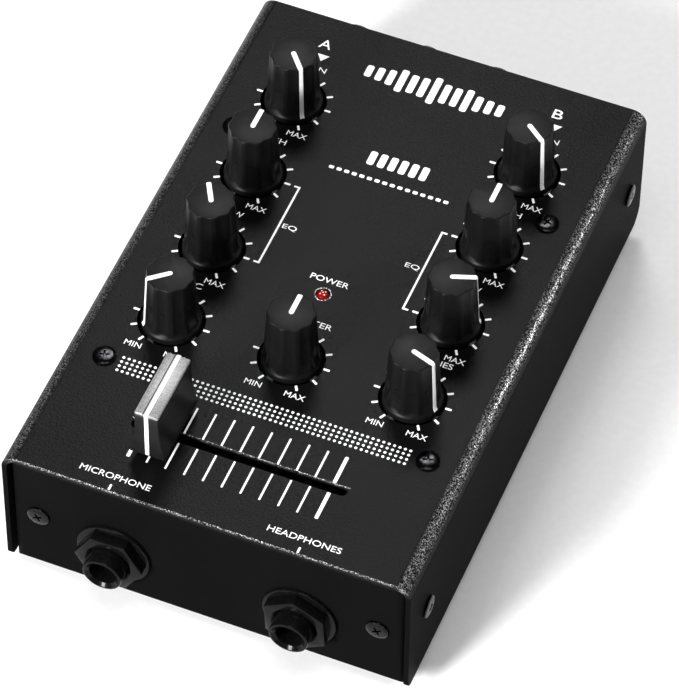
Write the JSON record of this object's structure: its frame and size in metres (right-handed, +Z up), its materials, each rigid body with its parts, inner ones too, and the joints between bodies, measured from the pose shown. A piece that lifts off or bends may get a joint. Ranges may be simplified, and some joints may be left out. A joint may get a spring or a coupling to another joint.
{
  "type": "dj mixer",
  "caption": "Compact DJ mixer in a folded steel case, with rotary level and tone knobs, a horizontal crossfader, front quarter-inch jacks and rear phono sockets.",
  "frame": {"origin": "on the resting surface, under the centre of the bounding box", "axes": "+Z up, +Y to the rear sockets, +X to the right as seen from the front jacks"},
  "size_m": [0.0992, 0.1646, 0.057],
  "materials": {
    "black_powder_coat": "fine-textured satin powder coat on folded steel",
    "knob_black": "moulded, satin",
    "shaft_steel": "turned",
    "pot_case": "moulded",
    "board_green": "solder-masked laminate",
    "plated_steel": "zinc plate",
    "moulded_black": "moulded",
    "black_screw": "black zinc, semi-gloss",
    "cap_silver": "satin silver with a white index line",
    "jack_black": "moulded nylon",
    "nickel_plate": "nickel plate",
    "lamp_red": "clear red, lit",
    "foot_rubber": "moulded"
  },
  "bodies": {
    "chassis": {"board_bracket_front_left": "plated_steel", "board_bracket_front_right": "plated_steel", "board_bracket_rear_left": "plated_steel", "board_bracket_rear_right": "plated_steel", "board_link": "moulded_black", "board_screws": "plated_steel", "board_spacers": "plated_steel", "bottom_tray": "black_powder_coat", "crossfader_housing": "plated_steel", "crossfader_rails": "shaft_steel", "dc_inlet": "moulded_black", "lamp_spacer": "moulded_black", "main_board": "board_green", "mic_jack": "jack_black", "mic_jack_nut": "jack_black", "panel_screws": "black_screw", "phones_jack": "jack_black", "phones_jack_nut": "jack_black", "phono_block_a": "moulded_black", "phono_block_b": "moulded_black", "phono_block_out": "moulded_black", "phono_shells_a": "nickel_plate", "phono_shells_b": "nickel_plate", "phono_shells_out": "nickel_plate", "pot_gain_a": "pot_case", "pot_gain_b": "pot_case", "pot_high_a": "pot_case", "pot_high_b": "pot_case", "pot_low_a": "pot_case", "pot_low_b": "pot_case", "pot_master": "pot_case", "pot_mic": "pot_case", "pot_phones": "pot_case", "power_lamp": "lamp_red", "rear_board": "board_green", "rubber_feet": "foot_rubber", "side_screws": "black_screw", "top_cover": "black_powder_coat", "top_screws": "black_screw"},
    "gain_a": {"knob_gain_a": "knob_black", "shaft_gain_a": "shaft_steel"},
    "high_a": {"knob_high_a": "knob_black", "shaft_high_a": "shaft_steel"},
    "low_a": {"knob_low_a": "knob_black", "shaft_low_a": "shaft_steel"},
    "mic": {"knob_mic": "knob_black", "shaft_mic": "shaft_steel"},
    "master": {"knob_master": "knob_black", "shaft_master": "shaft_steel"},
    "gain_b": {"knob_gain_b": "knob_black", "shaft_gain_b": "shaft_steel"},
    "high_b": {"knob_high_b": "knob_black", "shaft_high_b": "shaft_steel"},
    "low_b": {"knob_low_b": "knob_black", "shaft_low_b": "shaft_steel"},
    "phones": {"knob_phones": "knob_black", "shaft_phones": "shaft_steel"},
    "crossfader": {"crossfader_cap": "cap_silver", "crossfader_tongue": "shaft_steel", "crossfader_carriage": "moulded_black"}
  },
  "joints": [
    {"name": "gain_a_turn", "type": "hinge", "parent": "chassis", "child": "gain_a", "pos_m": [-0.02935, 0.0462, 0.0401], "axis": [0, 0, -1], "range_deg": [-290, 10]},
    {"name": "high_a_turn", "type": "hinge", "parent": "chassis", "child": "high_a", "pos_m": [-0.02935, 0.0218, 0.0401], "axis": [0, 0, -1], "range_deg": [-150, 150]},
    {"name": "low_a_turn", "type": "hinge", "parent": "chassis", "child": "low_a", "pos_m": [-0.02935, -0.0026, 0.0401], "axis": [0, 0, -1], "range_deg": [-121, 179]},
    {"name": "mic_turn", "type": "hinge", "parent": "chassis", "child": "mic", "pos_m": [-0.02935, -0.0259, 0.0401], "axis": [0, 0, -1], "range_deg": [-20, 280]},
    {"name": "master_turn", "type": "hinge", "parent": "chassis", "child": "master", "pos_m": [0, -0.0259, 0.0401], "axis": [0, 0, -1], "range_deg": [-150, 150]},
    {"name": "gain_b_turn", "type": "hinge", "parent": "chassis", "child": "gain_b", "pos_m": [0.02935, 0.0462, 0.0401], "axis": [0, 0, -1], "range_deg": [-278, 22]},
    {"name": "high_b_turn", "type": "hinge", "parent": "chassis", "child": "high_b", "pos_m": [0.02935, 0.0218, 0.0401], "axis": [0, 0, -1], "range_deg": [-150, 150]},
    {"name": "low_b_turn", "type": "hinge", "parent": "chassis", "child": "low_b", "pos_m": [0.02935, -0.0026, 0.0401], "axis": [0, 0, -1], "range_deg": [-220, 80]},
    {"name": "phones_turn", "type": "hinge", "parent": "chassis", "child": "phones", "pos_m": [0.02935, -0.0259, 0.0401], "axis": [0, 0, -1], "range_deg": [-258.5, 41.5]},
    {"name": "crossfader_slide", "type": "slide", "parent": "chassis", "child": "crossfader", "axis": [1, 0, 0], "range_m": [-0.0045, 0.0405]}
  ]
}
